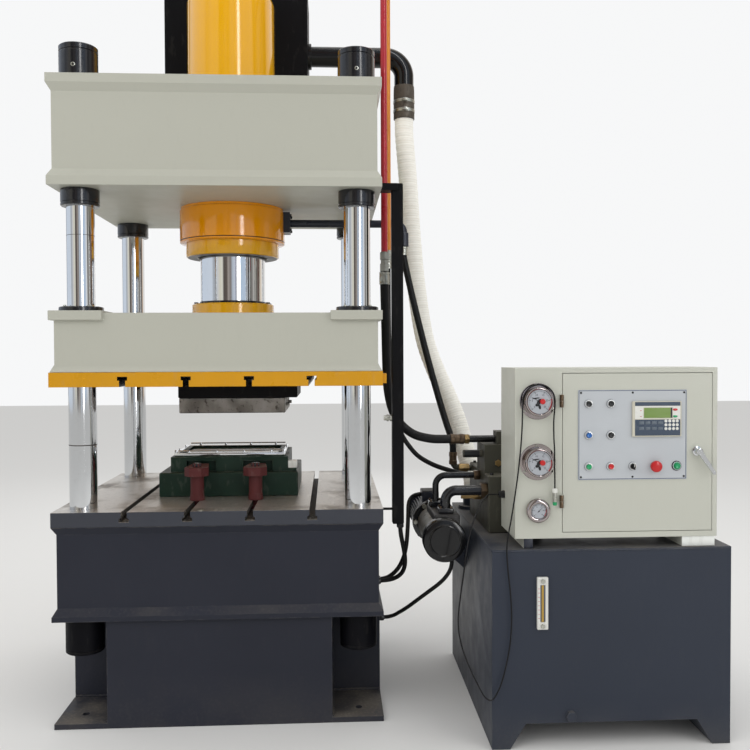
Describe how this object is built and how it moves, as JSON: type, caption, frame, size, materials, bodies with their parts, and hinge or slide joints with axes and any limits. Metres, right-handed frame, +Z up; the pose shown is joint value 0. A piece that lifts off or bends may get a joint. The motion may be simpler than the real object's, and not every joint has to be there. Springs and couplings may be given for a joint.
{
  "type": "hydraulic press",
  "caption": "Upright column press with a slotted table and slide between stepped dies, a top cylinder, and a floor-standing oil tank with pump, hoses and a control cabinet.",
  "frame": {"origin": "middle of the bed's underside, on the floor, on the axis of the cylinder", "axes": "+X to the right towards the power unit, +Y to the back, away from the operator, +Z up"},
  "size_m": [2.394, 1.2848, 3.0003],
  "materials": {
    "grey_paint": "satin light grey paint",
    "yellow_paint": "gloss yellow paint",
    "bed_paint": "dark blue-grey paint",
    "tank_paint": "dark blue-grey paint",
    "black_paint": "satin black paint",
    "black_nut": "gloss black, oiled",
    "bright_steel": "machined steel",
    "chrome": "hard chrome",
    "red_paint": "gloss red paint",
    "orange_paint": "orange paint",
    "die_green": "dark green paint",
    "clamp_red": "worn red paint",
    "hose_rubber": "matt black rubber",
    "hose_cloth": "white cloth wrap",
    "panel_light": "light grey face plate",
    "display_case": "beige plastic",
    "button_black": "black plastic",
    "button_blue": "blue plastic",
    "button_green": "green plastic",
    "button_red": "red plastic",
    "level_white": "white plastic",
    "valve_grey": "oily cast surface"
  },
  "bodies": {
    "press": {"bed_frame": "bed_paint", "table_plate": "bright_steel", "column_front_left": "chrome", "top_nut_front_left": "black_nut", "column_front_right": "chrome", "top_nut_front_right": "black_nut", "column_back_left": "chrome", "top_nut_back_left": "black_nut", "column_back_right": "chrome", "top_nut_back_right": "black_nut", "top_beam": "grey_paint", "main_cylinder": "yellow_paint", "load_ring": "yellow_paint", "gland_ring": "yellow_paint", "lower_die": "die_green", "clamp_left": "clamp_red", "clamp_right": "clamp_red", "prefill_tank": "black_paint", "suction_elbow": "black_paint", "pressure_pipe": "red_paint", "pilot_pipe": "orange_paint", "rod_side_pipe": "bed_paint", "switch_post": "black_paint", "oil_tank": "tank_paint", "level_gauge": "level_white", "control_cabinet": "grey_paint", "gauge_main": "chrome", "gauge_return": "chrome", "gauge_pilot": "chrome", "pump": "black_paint", "drive_motor": "black_paint", "valve_block": "valve_grey", "suction_hose": "hose_cloth", "pressure_hose": "hose_rubber", "pilot_hose": "hose_rubber", "rod_side_hose": "hose_rubber", "motor_cable": "hose_rubber", "switch_conduit": "hose_rubber", "motor_conduit": "hose_rubber", "gauge_wire": "hose_rubber", "wire_plug": "level_white"},
    "slide": {"slide_beam": "grey_paint", "slide_plate": "yellow_paint", "ram": "chrome", "ram_flange": "yellow_paint", "upper_die_plate": "black_paint", "upper_die_block": "bright_steel"},
    "door": {"cabinet_door": "grey_paint", "panel_plate": "panel_light", "operator_display": "display_case"},
    "handle": {"door_handle": "chrome"},
    "button_raise_body": {"button_raise": "button_black"},
    "button_lower_body": {"button_lower": "button_black"},
    "button_reset_body": {"button_reset": "button_blue"},
    "button_light_body": {"button_light": "button_black"},
    "button_motor_on_body": {"button_motor_on": "button_green"},
    "button_motor_off_body": {"button_motor_off": "button_red"},
    "mode_selector_body": {"mode_selector": "button_black"},
    "emergency_stop_body": {"emergency_stop": "button_red"},
    "button_cycle_body": {"button_cycle": "button_green"}
  },
  "joints": [
    {"name": "slide_travel", "type": "slide", "parent": "press", "child": "slide", "axis": [0, 0, 1], "range_m": [-0.14, 0.15]},
    {"name": "door_hinge", "type": "hinge", "parent": "press", "child": "door", "pos_m": [1.198, -0.7415, 0.7465], "axis": [0, 0, -1], "range_deg": [0, 110]},
    {"name": "handle_turn", "type": "hinge", "parent": "door", "child": "handle", "pos_m": [1.673, -0.735, 1.022], "axis": [0, 1, 0], "range_deg": [0, 90]},
    {"name": "press_raise", "type": "slide", "parent": "door", "child": "button_raise_body", "axis": [0, 1, 0], "range_m": [0, 0.004], "stiffness_N_per_m": 300},
    {"name": "press_lower", "type": "slide", "parent": "door", "child": "button_lower_body", "axis": [0, 1, 0], "range_m": [0, 0.004], "stiffness_N_per_m": 300},
    {"name": "press_reset", "type": "slide", "parent": "door", "child": "button_reset_body", "axis": [0, 1, 0], "range_m": [0, 0.004], "stiffness_N_per_m": 300},
    {"name": "press_light", "type": "slide", "parent": "door", "child": "button_light_body", "axis": [0, 1, 0], "range_m": [0, 0.004], "stiffness_N_per_m": 300},
    {"name": "press_motor_on", "type": "slide", "parent": "door", "child": "button_motor_on_body", "axis": [0, 1, 0], "range_m": [0, 0.004], "stiffness_N_per_m": 300},
    {"name": "press_motor_off", "type": "slide", "parent": "door", "child": "button_motor_off_body", "axis": [0, 1, 0], "range_m": [0, 0.004], "stiffness_N_per_m": 300},
    {"name": "selector_turn", "type": "hinge", "parent": "door", "child": "mode_selector_body", "pos_m": [1.4467, -0.7373, 0.9715], "axis": [0, 1, 0], "range_deg": [-45, 45]},
    {"name": "stop_press", "type": "slide", "parent": "door", "child": "emergency_stop_body", "axis": [0, 1, 0], "range_m": [0, 0.006]},
    {"name": "press_cycle", "type": "slide", "parent": "door", "child": "button_cycle_body", "axis": [0, 1, 0], "range_m": [0, 0.004], "stiffness_N_per_m": 300}
  ]
}
